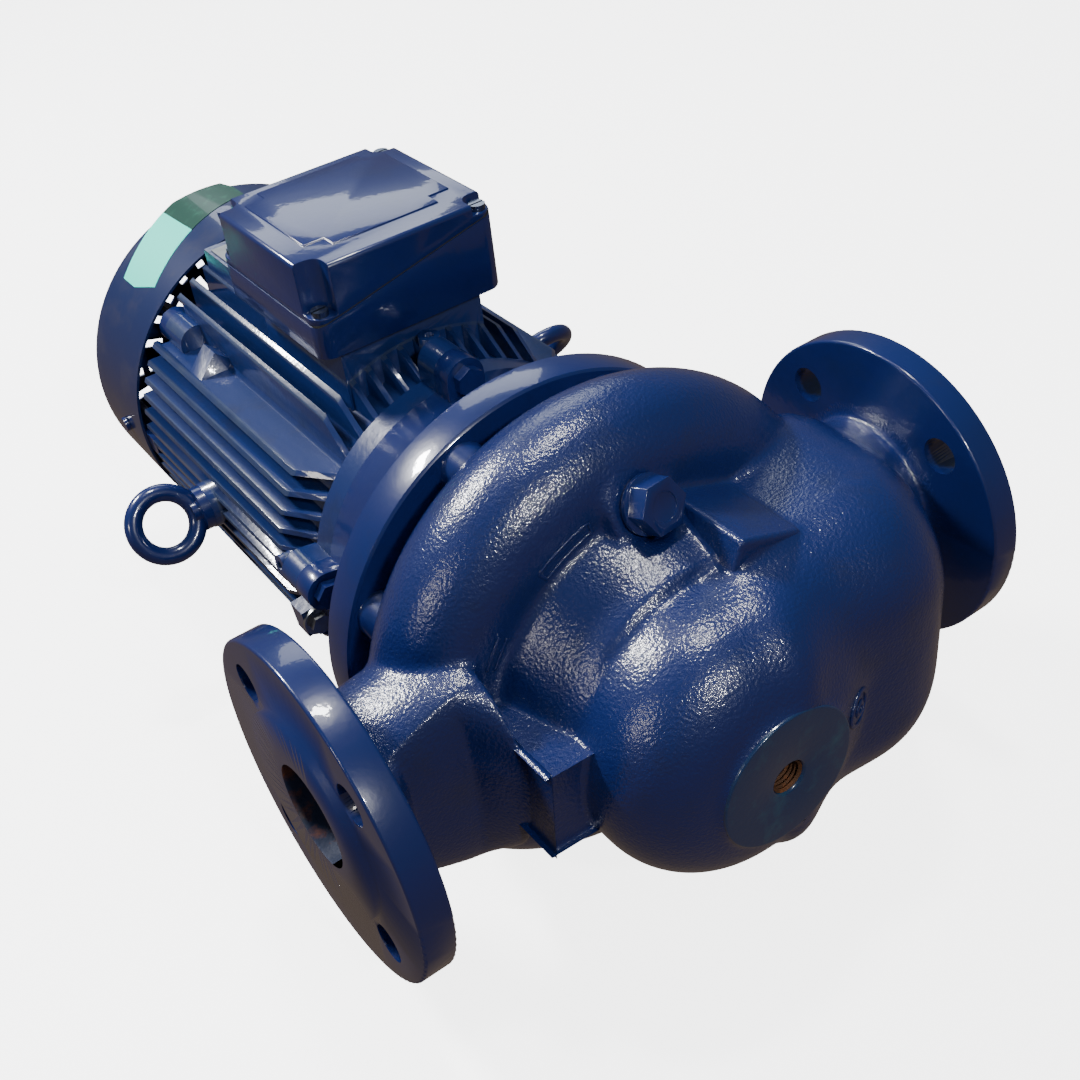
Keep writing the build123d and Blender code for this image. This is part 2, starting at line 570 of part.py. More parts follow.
save(motor_frame(), "motor_frame")
stator_parts()
save(nde_shield(), "rear_shield")
save(group(polar(hex_bolt(BACK_EAR_R, 326, 24, -1, r=3.98), a) for a in BACK_EAR_ANGLES), "rear_shield_bolts")
save(ring(30.5, 24, BEARING_NDE_Y + BEARING_W, BEARING_NDE_Y + BEARING_W + 1.2), "preload_spring")
save(fan_cowl(), "fan_cowl")
cowl_screw = rod_x(1.98, 88, COWL_R + 0.3, COWL_SCREW_Y)
cowl_screw += rod_x(4.5, COWL_R + 0.3, COWL_R + 2.8, COWL_SCREW_Y)
save(group(polar(cowl_screw, a) for a in COWL_LUG_ANGLES), "cowl_screws")
save(cowl_label(), "cowl_label")

save(terminal_box_base(), "terminal_box_base")
save(terminal_box_lid(), "terminal_box_lid")
box_gaskets()
terminal_parts()
save(group(Pos(x, y, BOX_Z0 + 4) * pan_screw(2.48, 16, 4.5, 3) for x, y in BOX_FIXINGS), "box_fixing_screws")
save(group(Pos(x, y, floor) * pan_screw(1.98, 15, 4.2, 3) for x, y, floor in LID_SCREWS), "lid_screws")
save(blanking_plugs(), "blanking_plugs")

save(eyebolt(-1), "eyebolt_left")
save(eyebolt(1), "eyebolt_right")
plate = block(-36, 36, *PLATE_Y, 104, 104.8)
for x, y in PLATE_RIVETS:
    plate -= rod_z(1.25, 100, 110, x, y)
save(plate, "rating_plate")
save(group(rod_z(1.18, 99, 104.8, x, y) + rod_z(2.2, 104.8, 105.8, x, y) for x, y in PLATE_RIVETS),
     "plate_rivets")
save(earth_bolt(), "earth_bolt")
save(polar(ring(8, 3.1, 116, 118, 99), EARTH_ANGLE), "earth_washer")

save(shaft(), "shaft")
rotor_parts()
save(impeller(), "impeller")
save(block(5.4, 11.5, 3, 19, -2.98, 2.98), "impeller_key")
save(ring(13, 5.05, -4, -2), "impeller_washer")
save(hex_along_y(17, -12, -4) - rod(5.0, -13, -3), "impeller_nut")
bearing(BEARING_DE_Y, "de")
bearing(BEARING_NDE_Y, "nde")
save(cooling_fan(), "cooling_fan")
save(ring(12, 9.0, FAN_Y0 + 24, FAN_Y0 + 25.2), "fan_clip")
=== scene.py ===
# %% [markdown]
# # An in-line centrifugal pump, from CAD shape to painted casting
# This file is a lesson in cells. Each cell does one small thing and prints what it made.
# We load the exact CAD parts, keep them where they are, and build the looks around them:
# a soft cast skin, a thick gloss enamel, bare metal, labels, wear, a floor and soft light.
# Loading comes first.

# %% Load the frame
import bpy, bmesh, math
from math import cos, sin, pi, radians
from mathutils import Matrix, Vector
from mathutils.bvhtree import BVHTree


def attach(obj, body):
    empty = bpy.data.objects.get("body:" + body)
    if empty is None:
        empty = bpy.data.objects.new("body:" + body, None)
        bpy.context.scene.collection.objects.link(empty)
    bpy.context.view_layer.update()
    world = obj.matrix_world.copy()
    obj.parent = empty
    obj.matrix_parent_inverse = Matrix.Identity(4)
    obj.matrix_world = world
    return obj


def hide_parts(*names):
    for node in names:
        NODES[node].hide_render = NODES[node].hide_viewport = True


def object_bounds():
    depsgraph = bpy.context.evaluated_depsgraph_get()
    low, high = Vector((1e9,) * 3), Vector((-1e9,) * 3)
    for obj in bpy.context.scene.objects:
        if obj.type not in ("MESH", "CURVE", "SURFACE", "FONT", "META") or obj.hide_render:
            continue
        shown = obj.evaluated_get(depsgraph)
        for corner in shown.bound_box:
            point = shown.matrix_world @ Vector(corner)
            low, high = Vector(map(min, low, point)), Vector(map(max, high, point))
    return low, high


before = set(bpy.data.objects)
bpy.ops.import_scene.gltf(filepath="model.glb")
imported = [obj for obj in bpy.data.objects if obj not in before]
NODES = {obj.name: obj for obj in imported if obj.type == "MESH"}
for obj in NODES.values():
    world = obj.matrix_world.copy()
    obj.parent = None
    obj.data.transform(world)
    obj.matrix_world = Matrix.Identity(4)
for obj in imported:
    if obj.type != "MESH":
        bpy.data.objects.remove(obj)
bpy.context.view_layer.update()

# %% [markdown]
# ## Where things are
# The shaft runs along Y and the foot boss is at Y = 0. Drawing about the point where the shaft
# crosses the pipe is easier, so `mm()` turns such a point, in millimetres, into scene metres.

# %% Small helpers
PIPE_Y = 0.116


def mm(x, y, z):
    return Vector((x / 1000, y / 1000 + PIPE_Y, z / 1000))


def mesh_object(name, bm, material=None, smooth=True):
    """Make an object at the origin from a bmesh and free the bmesh."""
    bmesh.ops.recalc_face_normals(bm, faces=bm.faces)
    mesh = bpy.data.meshes.new(name)
    bm.to_mesh(mesh)
    bm.free()
    obj = bpy.data.objects.new(name, mesh)
    bpy.context.scene.collection.objects.link(obj)
    for poly in mesh.polygons:
        poly.use_smooth = smooth
    if material:
        mesh.materials.append(material)
    return obj


def apply_all(obj):
    """Replace an object's mesh by what its modifiers make of it."""
    graph = bpy.context.evaluated_depsgraph_get()
    graph.update()
    mesh = bpy.data.meshes.new_from_object(obj.evaluated_get(graph))
    obj.modifiers.clear()
    old, obj.data = obj.data, mesh
    mesh.name = obj.name
    bpy.data.meshes.remove(old)
    return obj


print("helpers ready")

# %% [markdown]
# ## Shared surface effects
# A node group is a reusable effect with named inputs. "Peel" is the lumpy surface that thick
# enamel gets over rough metal. "Grime" mixes a second colour into patches. "EdgeLight" lightens
# what lies at one distance from the shaft axis, the fin tips: partly wear, partly a painted highlight.

# %% Node group helpers
def new_group(name, inputs, outputs):
    group = bpy.data.node_groups.new(name, "ShaderNodeTree")
    for label, kind, value in inputs:
        sock = group.interface.new_socket(label, in_out="INPUT", socket_type=kind)
        sock.default_value = value
    for label, kind in outputs:
        group.interface.new_socket(label, in_out="OUTPUT", socket_type=kind)
    return group, group.nodes.new("NodeGroupInput"), group.nodes.new("NodeGroupOutput")


def add(tree, kind, **values):
    """Add a node; a keyword ending in _in sets an input socket, any other sets a property."""
    node = tree.nodes.new(kind)
    for key, value in values.items():
        if key.endswith("_in"):
            node.inputs[key[:-3].replace("_", " ")].default_value = value
        else:
            setattr(node, key, value)
    return node


print("group helpers ready")

# %% [markdown]
# Two noises are added together, a fine one and a slow swell, and a Bump node turns the sum into
# small changes of the surface direction. Height says how strong the bumps are.

# %% Node group: orange peel
PEEL, p_in, p_out = new_group("Peel", [
    ("Scale", "NodeSocketFloat", 420.0), ("Height", "NodeSocketFloat", 1.0),
    ("Swell", "NodeSocketFloat", 0.4)], [("Normal", "NodeSocketVector")])
coords = add(PEEL, "ShaderNodeTexCoord")
fine = add(PEEL, "ShaderNodeTexNoise", Detail_in=2.5, Roughness_in=0.55)
swell = add(PEEL, "ShaderNodeTexNoise", Scale_in=60.0, Detail_in=1.0)
total = add(PEEL, "ShaderNodeMath", operation="MULTIPLY_ADD")
bump = add(PEEL, "ShaderNodeBump", Distance_in=0.0006)
link = PEEL.links.new
link(coords.outputs["Object"], fine.inputs["Vector"])
link(coords.outputs["Object"], swell.inputs["Vector"])
link(p_in.outputs["Scale"], fine.inputs["Scale"])
link(swell.outputs["Fac"], total.inputs[0])
link(p_in.outputs["Swell"], total.inputs[1])
link(fine.outputs["Fac"], total.inputs[2])
link(total.outputs[0], bump.inputs["Height"])
link(p_in.outputs["Height"], bump.inputs["Strength"])
link(bump.outputs["Normal"], p_out.inputs["Normal"])
print("group", PEEL.name, "with", len(PEEL.nodes), "nodes")

# %% [markdown]
# A noise is cut at a threshold to make soft-edged patches. Amount scales the patches, and the
# two colours are mixed by them.

# %% Node group: patchy mix of two colours
GRIME, g_in, g_out = new_group("Grime", [
    ("Clean", "NodeSocketColor", (0.01, 0.03, 0.12, 1)),
    ("Dirt", "NodeSocketColor", (0.1, 0.07, 0.05, 1)),
    ("Amount", "NodeSocketFloat", 0.2), ("Scale", "NodeSocketFloat", 40.0)],
    [("Color", "NodeSocketColor"), ("Mask", "NodeSocketFloat")])
coords = add(GRIME, "ShaderNodeTexCoord")
patch = add(GRIME, "ShaderNodeTexNoise", Detail_in=6.0, Roughness_in=0.65)
edge = add(GRIME, "ShaderNodeMapRange", From_Min_in=0.52, From_Max_in=0.72)
amount = add(GRIME, "ShaderNodeMath", operation="MULTIPLY", use_clamp=True)
mix = add(GRIME, "ShaderNodeMix", data_type="RGBA")
link = GRIME.links.new
link(coords.outputs["Object"], patch.inputs["Vector"])
link(g_in.outputs["Scale"], patch.inputs["Scale"])
link(patch.outputs["Fac"], edge.inputs["Value"])
link(edge.outputs["Result"], amount.inputs[0])
link(g_in.outputs["Amount"], amount.inputs[1])
link(amount.outputs[0], mix.inputs[0])
link(g_in.outputs["Clean"], mix.inputs[6])
link(g_in.outputs["Dirt"], mix.inputs[7])
link(mix.outputs[2], g_out.inputs["Color"])
link(amount.outputs[0], g_out.inputs["Mask"])
print("group", GRIME.name, "with", len(GRIME.nodes), "nodes")

# %% [markdown]
# Setting Y to zero and measuring the length gives the distance from the shaft. A Compare node is 1
# only where that distance is close to Radius, which is where the fins end.

# %% Node group: lighter in a thin band at one distance from the shaft
# The lighter band on the fin tips is partly wear and partly a painted highlight on their edges.
EDGE, e_in, e_out = new_group("EdgeLight", [
    ("Color", "NodeSocketColor", (0.01, 0.03, 0.12, 1)),
    ("WornHighlight", "NodeSocketColor", (0.05, 0.07, 0.11, 1)),
    ("Radius", "NodeSocketFloat", 0.099)], [("Color", "NodeSocketColor")])
coords = add(EDGE, "ShaderNodeTexCoord")
flat = add(EDGE, "ShaderNodeVectorMath", operation="MULTIPLY")
flat.inputs[1].default_value = (1, 0, 1)
length = add(EDGE, "ShaderNodeVectorMath", operation="LENGTH")
band = add(EDGE, "ShaderNodeMath", operation="COMPARE")
band.inputs[2].default_value = 0.0009
spots = add(EDGE, "ShaderNodeTexNoise", Scale_in=90.0, Detail_in=4.0)
tip_wear_highlight = add(EDGE, "ShaderNodeMath", operation="MULTIPLY")
mix = add(EDGE, "ShaderNodeMix", data_type="RGBA")
link = EDGE.links.new
link(coords.outputs["Object"], flat.inputs[0])
link(flat.outputs[0], length.inputs[0])
link(length.outputs["Value"], band.inputs[0])
link(e_in.outputs["Radius"], band.inputs[1])
link(coords.outputs["Object"], spots.inputs["Vector"])
link(band.outputs[0], tip_wear_highlight.inputs[0])
link(spots.outputs["Fac"], tip_wear_highlight.inputs[1])
link(tip_wear_highlight.outputs[0], mix.inputs[0])
link(e_in.outputs["Color"], mix.inputs[6])
link(e_in.outputs["WornHighlight"], mix.inputs[7])
link(mix.outputs[2], e_out.inputs["Color"])
print("group", EDGE.name, "with", len(EDGE.nodes), "nodes")

# %% [markdown]
# ## The materials
# One function makes them all. A painted surface has a clear coat over its colour; bare metal has
# none. The bump goes to both the base and the coat so that highlights break into small sparkles.

# %% Material maker
def make(name, color, rough=0.4, metal=0.0, coat=0.0, peel=(420, 0.0, 0.4), dirt=(0.07, 0.05, 0.04),
         grime=0.0, grime_scale=40, tip_wear_highlight=None):
    mat = bpy.data.materials.new(name)
    mat.use_nodes = True
    tree = mat.node_tree
    shader = tree.nodes["Principled BSDF"]
    shader.inputs["Roughness"].default_value = rough
    shader.inputs["Metallic"].default_value = metal
    shader.inputs["Coat Weight"].default_value = coat
    shader.inputs["Coat Roughness"].default_value = 0.05
    blend = tree.nodes.new("ShaderNodeGroup")
    blend.node_tree = GRIME
    blend.inputs["Clean"].default_value = (*color, 1)
    blend.inputs["Dirt"].default_value = (*dirt, 1)
    blend.inputs["Amount"].default_value = grime
    blend.inputs["Scale"].default_value = grime_scale
    color_out = blend.outputs["Color"]
    # The fin tips get a lighter band: partly wear, partly a painted highlight.
    if tip_wear_highlight:
        tips = tree.nodes.new("ShaderNodeGroup")
        tips.node_tree = EDGE
        tips.inputs["Radius"].default_value = tip_wear_highlight
        tree.links.new(color_out, tips.inputs["Color"])
        color_out = tips.outputs["Color"]
    tree.links.new(color_out, shader.inputs["Base Color"])
    if peel[1] > 0:
        skin = tree.nodes.new("ShaderNodeGroup")
        skin.node_tree = PEEL
        for label, value in zip(("Scale", "Height", "Swell"), peel):
            skin.inputs[label].default_value = value
        tree.links.new(skin.outputs["Normal"], shader.inputs["Normal"])
        if coat:
            tree.links.new(skin.outputs["Normal"], shader.inputs["Coat Normal"])
    return mat


NAVY = (0.006, 0.016, 0.105)
RUST = (0.3, 0.1, 0.03)
MAT = {
    "cast_enamel": make("cast_enamel", NAVY, 0.32, coat=1.0, peel=(620, 0.62, 0.7), grime=0.3,
                        dirt=(0.015, 0.02, 0.04)),
    "smooth_enamel": make("smooth_enamel", NAVY, 0.28, coat=1.0, peel=(260, 0.1, 0.8), grime=0.2,
                          dirt=(0.015, 0.02, 0.035)),
    "cowl_enamel": make("cowl_enamel", (0.009, 0.018, 0.08), 0.3, coat=1.0, peel=(200, 0.05, 1.0),
                        grime=0.25, dirt=(0.09, 0.08, 0.08)),
    # The fins' lighter tips are partly wear and partly a painted highlight.
    "fin_enamel": make("fin_enamel", (0.008, 0.022, 0.11), 0.3, coat=1.0, peel=(300, 0.2, 0.6),
                       grime=0.35, dirt=(0.015, 0.018, 0.025), tip_wear_highlight=0.0990),
    "guard_sheet": make("guard_sheet", (0.004, 0.008, 0.03), 0.35, coat=0.5),
    "bore_rust": make("bore_rust", (0.02, 0.03, 0.07), 0.5, coat=0.3, peel=(300, 0.5, 0.5), grime=0.95,
                      dirt=RUST, grime_scale=55),
    "thread_rust": make("thread_rust", (0.12, 0.055, 0.025), 0.7, metal=0.4, peel=(900, 0.4, 0.2),
                        grime=0.8, dirt=RUST, grime_scale=200),
    "boss_enamel": make("boss_enamel", (0.008, 0.03, 0.1), 0.28, coat=1.0, peel=(300, 0.16, 0.9),
                        grime=0.45, dirt=(0.02, 0.12, 0.17), grime_scale=60),
    "bare_iron": make("bare_iron", (0.13, 0.12, 0.12), 0.5, metal=1.0, grime=0.4),
    "bronze": make("bronze", (0.45, 0.27, 0.1), 0.35, metal=1.0),
    "gasket": make("gasket", (0.04, 0.04, 0.035), 0.8),
    "carbon": make("carbon", (0.02, 0.02, 0.02), 0.25),
    "ceramic": make("ceramic", (0.75, 0.72, 0.66), 0.15),
    "rubber": make("rubber", (0.015, 0.015, 0.015), 0.7),
    "steel": make("steel", (0.5, 0.5, 0.51), 0.28, metal=1.0, grime=0.1),
    "lamination": make("lamination", (0.2, 0.2, 0.21), 0.45, metal=1.0),
    "copper": make("copper", (0.42, 0.14, 0.05), 0.35, coat=0.6),
    "aluminium": make("aluminium", (0.42, 0.43, 0.42), 0.4, metal=1.0, peel=(500, 0.1, 0.4), grime=0.4,
                      dirt=(0.16, 0.17, 0.15)),
    "label_teal": make("label_teal", (0.05, 0.85, 0.66), 0.6),
    "label_dark": make("label_dark", (0.01, 0.06, 0.04), 0.35, coat=0.3, grime=0.6,
                       dirt=(0.03, 0.16, 0.1), grime_scale=160),
    "phenolic": make("phenolic", (0.1, 0.08, 0.06), 0.5),
    "brass": make("brass", (0.6, 0.42, 0.16), 0.25, metal=1.0),
    "zinc": make("zinc", (0.5, 0.52, 0.5), 0.3, metal=1.0, grime=0.5, dirt=(0.02, 0.06, 0.08)),
    "lid_screw": make("lid_screw", (0.12, 0.15, 0.22), 0.25, metal=0.9, coat=0.6, grime=0.6, dirt=NAVY,
                      grime_scale=300),
    "plastic": make("plastic", (0.025, 0.025, 0.027), 0.4),
    "bearing": make("bearing", (0.6, 0.6, 0.62), 0.12, metal=1.0),
}
# The teal label gets a faint glow: painted brightness, since the label is no lamp.
label_painted_glow = MAT["label_teal"].node_tree.nodes["Principled BSDF"].inputs
label_painted_glow["Emission Color"].default_value = (0.0, 0.75, 0.55, 1)
label_painted_glow["Emission Strength"].default_value = 0.18
print("materials:", len(MAT))

# %% [markdown]
# The table lists the CAD nodes by finish. What is hidden inside gets its real material too, because
# a reader may take the cover off.

# %% Give every CAD node its finish
FINISH = {
    "cast_enamel": "volute_casing",
    "smooth_enamel": "vent_plug drive_end_shield casing_bolts casing_bolt_washers front_shield_bolts "
                     "rear_shield rear_shield_bolts cowl_screws terminal_box_base "
                     "terminal_box_lid eyebolt_left eyebolt_right",
    "cowl_enamel": "fan_cowl",
    "fin_enamel": "motor_frame",
    "guard_sheet": "lantern_guard",
    "bare_iron": "casing_cover impeller",
    "bronze": "wear_ring",
    "gasket": "casing_gasket box_seat_gasket lid_gasket",
    "carbon": "seal_ring", "ceramic": "seal_seat", "rubber": "slinger",
    "steel": "seal_spring preload_spring fan_clip shaft impeller_key impeller_washer impeller_nut "
             "bearing_cage_de bearing_cage_nde",
    "lamination": "stator_core rotor_core", "copper": "stator_windings",
    "aluminium": "vent_plug_washer rotor_cage rating_plate plate_rivets",
    "label_teal": "cowl_label", "phenolic": "terminal_board",
    "brass": "terminal_studs terminal_links",
    "zinc": "box_fixing_screws earth_bolt earth_washer", "lid_screw": "lid_screws",
    "plastic": "blanking_plugs cooling_fan",
    "bearing": "bearing_outer_de bearing_inner_de bearing_outer_nde bearing_inner_nde "
               "bearing_balls_de bearing_balls_nde",
}
for finish, names in FINISH.items():
    for name in names.split():
        mesh = NODES[name].data
        mesh.materials.clear()
        mesh.materials.append(MAT[finish])
left_over = [n for n in NODES if not NODES[n].data.materials]
print("nodes without a finish:", left_over)

# %% [markdown]
# ## Soft edges on the machined pieces
# Real edges are never sharp: a small round catches the light. We copy a CAD mesh, weld it, bevel
# its sharp edges, and let the copy stand for the CAD node.

# %% Bevelled copies
def soften(name, width, angle=38, segments=2, flat_area=1.0):
    """Stand a copy of a CAD node in its place, with its sharp edges rounded to a width in metres."""
    src = NODES[name]
    bm = bmesh.new()
    bm.from_mesh(src.data)
    bmesh.ops.remove_doubles(bm, verts=bm.verts, dist=1e-5)
    bmesh.ops.dissolve_limit(bm, angle_limit=radians(0.8), verts=bm.verts, edges=bm.edges)
    mesh = bpy.data.meshes.new(name + "_soft")
    bm.to_mesh(mesh)
    bm.free()
    mesh.materials.append(src.data.materials[0])
    obj = bpy.data.objects.new(name + "_soft", mesh)
    bpy.context.scene.collection.objects.link(obj)
    bevel = obj.modifiers.new("round", "BEVEL")
    bevel.width, bevel.segments, bevel.limit_method = width, segments, "ANGLE"
    bevel.angle_limit = radians(angle)
    bevel.use_clamp_overlap = True
    apply_all(obj)
    for poly in obj.data.polygons:
        poly.use_smooth = poly.area < flat_area
    obj.data.set_sharp_from_angle(angle=radians(32))
    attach(obj, "housing")
    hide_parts(name)
    print("softened", name, "faces:", len(obj.data.polygons))


soften("terminal_box_lid", 0.0009, flat_area=8e-5)
soften("terminal_box_base", 0.0012, flat_area=8e-5)
soften("drive_end_shield", 0.0009)
soften("motor_frame", 0.00045, segments=1)
soften("vent_plug", 0.0006)

# %% [markdown]
# ## The cast skin of the casing
# A sand casting has no sharp inside corners. The CAD casing is closed with plugs, turned into an
# even skin of small squares (a voxel remesh), and smoothed so that every corner gets a fillet.
# The crisp machined flanges are then cut back in from the CAD mesh.

# %% Plug the openings and remesh
def cylinder(bm, centre, axis, radius, depth, segments=48):
    """Add a closed cylinder; centre and depth in scene metres."""
    turn = Vector((0, 0, 1)).rotation_difference(Vector(axis)).to_matrix().to_4x4()
    bmesh.ops.create_cone(bm, cap_ends=True, segments=segments, radius1=radius, radius2=radius,
                          depth=depth, matrix=Matrix.Translation(centre) @ turn)


VOXEL = 0.0018
bm = bmesh.new()
bm.from_mesh(NODES["volute_casing"].data)
cylinder(bm, mm(-95, 0, 0), (1, 0, 0), 0.031, 0.060)
cylinder(bm, mm(105, 0, 0), (1, 0, 0), 0.034, 0.070)
cylinder(bm, mm(0, 22, 0), (0, 1, 0), 0.073, 0.0278)
for k in range(8):
    a = radians(22.5 + 45 * k)
    cylinder(bm, mm(100 * cos(a), 25, 100 * sin(a)), (0, 1, 0), 0.006, 0.0218)
tilt = Vector((0, -cos(radians(21)), sin(radians(21))))
cylinder(bm, mm(2.5, -20.5, 90) - tilt * 0.015, tilt, 0.0125, 0.036)
cylinder(bm, mm(0, -103, 0), (0, 1, 0), 0.012, 0.026)
skin = mesh_object("casing_skin", bm, MAT["cast_enamel"])
remesh = skin.modifiers.new("voxels", "REMESH")
remesh.mode, remesh.voxel_size = "VOXEL", VOXEL
apply_all(skin)
print("remeshed casing faces:", len(skin.data.polygons))

# %% [markdown]
# Two vertex groups steer two Smooth modifiers. The first rounds every corner a little, and the lugs
# less. The second is long and works only where the dome runs into its round end. After that the
# neck's front is pressed flat, in line with the front of the scroll.

# %% Fillets everywhere, and a long blend where the dome meets its round end
NECK_FRONT = -27.0


def fade(value, low, high):
    return min(1.0, max(0.0, (value - low) / (high - low)))


fine, blend = skin.vertex_groups.new(name="fine"), skin.vertex_groups.new(name="blend")
for v in skin.data.vertices:
    x, y, z = v.co.x * 1000, (v.co.y - PIPE_Y) * 1000, v.co.z * 1000
    reach = math.hypot(x, z)
    angle = math.degrees(math.atan2(z, x)) % 360
    on_lug = -72 < y < -20 and reach > 66 and (50 < angle < 92 or 158 < angle < 198)
    fine.add([v.index], 0.3 if on_lug else 1.0, "REPLACE")
    weight = fade(-y, 62, 80) * fade(x, -25, 0) * fade(-x, -112, -90) * fade(z, 4, 16)
    weight *= fade(reach, 34, 42)
    if weight > 0:
        blend.add([v.index], weight, "REPLACE")
for title, times in (("fine", 12), ("blend", 110)):
    smooth = skin.modifiers.new(title, "SMOOTH")
    smooth.factor, smooth.iterations, smooth.vertex_group = 0.5, times, title
apply_all(skin)
skin.vertex_groups.clear()
for v in skin.data.vertices:
    x, y = v.co.x * 1000, (v.co.y - PIPE_Y) * 1000
    share = fade(x, -143, -132) * fade(-x, 86, 104)
    if y < NECK_FRONT and share > 0:
        v.co.y = mm(0, y + share * 0.7 * (NECK_FRONT - y), 0).y
print("smoothed casing faces:", len(skin.data.polygons))

# %% [markdown]
# The remesh also made skins for the hollows inside. Only the biggest shell is kept. Then the skin is
# opened where the machined flanges and the boss will stand.

# %% Keep only the outer skin, and clear the machined zones
def outer_island(bm):
    """Delete every connected shell except the largest one by size."""
    left, shells = set(bm.verts), []
    while left:
        stack, shell = [left.pop()], []
        while stack:
            v = stack.pop()
            shell.append(v)
            for e in v.link_edges:
                other = e.other_vert(v)
                if other in left:
                    left.remove(other)
                    stack.append(other)
        shells.append(shell)
    shells.sort(key=len)
    for shell in shells[:-1]:
        bmesh.ops.delete(bm, geom=shell, context="VERTS")
    return len(shells)


def machined(v):
    x, y, z = v.x * 1000, (v.y - PIPE_Y) * 1000, v.z * 1000
    off_pipe = (y * y + z * z) ** 0.5
    off_shaft = (x * x + z * z) ** 0.5
    if x < -146.8 or (x < -145.2 and off_pipe > 50) or (x < -126 and off_pipe < 31):
        return True
    if x > 166.8 or (x > 165.2 and off_pipe > 50) or (x > 146 and off_pipe < 33):
        return True
    return y < -112.6 and off_shaft < 34.0


bm = bmesh.new()
bm.from_mesh(skin.data)
shells = outer_island(bm)
bmesh.ops.delete(bm, geom=[v for v in bm.verts if machined(v.co)], context="VERTS")
bm.to_mesh(skin.data)
bm.free()
for poly in skin.data.polygons:
    poly.use_smooth = True
print("shells found:", shells, "skin faces kept:", len(skin.data.polygons))

# %% [markdown]
# Machined faces keep their sharp edges. Each flange is the set of CAD faces that lie wholly past a
# plane, with the pipe bore behind it. The bore's faces get the rusty finish.

# %% The crisp flanges, taken from the CAD mesh
def cad_faces(name, keep):
    bm = bmesh.new()
    bm.from_mesh(NODES["volute_casing"].data)
    bmesh.ops.remove_doubles(bm, verts=bm.verts, dist=1e-5)
    gone = [f for f in bm.faces if not all(keep(v.co) for v in f.verts)]
    bmesh.ops.delete(bm, geom=gone, context="FACES")
    obj = mesh_object(name, bm, MAT["smooth_enamel"])
    obj.data.set_sharp_from_angle(angle=radians(30))
    return obj


def pipe_radius(v):
    return ((v.y - PIPE_Y) ** 2 + v.z ** 2) ** 0.5 * 1000


def on_discharge(v):
    return v.x < -0.1459 or (v.x < -0.09 and pipe_radius(v) < 25.6)


def on_suction(v):
    return v.x > 0.1659 or (v.x > 0.138 and pipe_radius(v) < 26.1)


flange_a = cad_faces("discharge_flange", on_discharge)
flange_b = cad_faces("suction_flange", on_suction)
for flange in (flange_a, flange_b):
    flange.data.materials.append(MAT["bore_rust"])
    for poly in flange.data.polygons:
        if pipe_radius(poly.center) < 25.7:
            poly.material_index = 1
    print(flange.name, "faces:", len(flange.data.polygons))

# %% [markdown]
# Both are turned about the shaft axis from a short list of radius and depth. The thread is drawn as
# plain grooves, one for each 2 mm of depth.

# %% The boss face and its rusty thread
def lathe_y(bm, profile, segments=72):
    """Turn (radius, y) points in millimetres about the shaft axis into a skin."""
    rings = []
    for r, y in profile:
        rings.append([bm.verts.new(mm(r * cos(2 * pi * k / segments), y, r * sin(2 * pi * k / segments)))
                      for k in range(segments)])
    for low, high in zip(rings, rings[1:]):
        for k in range(segments):
            n = (k + 1) % segments
            bm.faces.new((low[k], low[n], high[n], high[k]))


bm = bmesh.new()
lathe_y(bm, [(35.3, -107), (35.4, -112), (35.4, -115.3), (35.2, -115.75), (34.8, -115.95), (34.2, -116),
             (9.6, -116), (9.0, -115.8), (8.2, -114.6), (8.2, -113.5)])
boss = mesh_object("boss_face", bm, MAT["boss_enamel"])
bm = bmesh.new()
thread = [(8.2, -114.8)]
for turn_no in range(11):
    y = -114.4 + 2.0 * turn_no
    thread += [(7.1, y + 0.8), (7.1, y + 1.1), (8.2, y + 1.9)]
lathe_y(bm, thread + [(8.2, -91.5), (0.1, -90)], 40)
hole = mesh_object("foot_thread", bm, MAT["thread_rust"], smooth=False)
print("boss faces:", len(boss.data.polygons), "thread faces:", len(hole.data.polygons))

# %% [markdown]
# The smoothing wears the lugs down, so each gets a block with rounded edges in the place and size
# that the CAD casing has it.

# %% The two flat lugs beside the dome
def lug(name, angle, height, side_0, side_1):
    """A block standing out from the shaft at an angle, with rounded edges."""
    bm = bmesh.new()
    bmesh.ops.create_cube(bm, size=1.0)
    low, high = Vector((0.058, -0.0683, side_0 / 1000)), Vector((height / 1000, -0.008, side_1 / 1000))
    spin = Matrix.Rotation(-radians(angle), 3, "Y")
    for v in bm.verts:
        at = Vector([low[k] + (v.co[k] + 0.5) * (high[k] - low[k]) for k in range(3)])
        v.co = spin @ at + Vector((0, PIPE_Y, 0))
    bmesh.ops.bevel(bm, geom=bm.edges[:], offset=0.0026, segments=3, profile=0.6, affect="EDGES",
                    clamp_overlap=True)
    obj = mesh_object(name, bm, MAT["cast_enamel"])
    obj.data.set_sharp_from_angle(angle=radians(40))
    return obj


lugs = [lug("lug_upper", 70, 89.3, -23.3, 12.3), lug("lug_left", 177, 88.8, -22.3, 24.3)]
print("lugs:", [len(obj.data.polygons) for obj in lugs])

# %% [markdown]
# ## Raised marks cast into the skin
# Blank rims and ribs stand where a foundry puts its marks. Each is a thin bead laid on the skin:
# a ray finds the skin under every point of the path, and a small tube follows those points.

# %% Beads that follow the skin
tree = BVHTree.FromObject(skin, bpy.context.evaluated_depsgraph_get())


def on_skin(x, z, y_from=-200):
    hit, normal, _, _ = tree.ray_cast(mm(x, y_from, z), Vector((0, 1, 0)))
    return (hit, normal) if hit else (None, None)


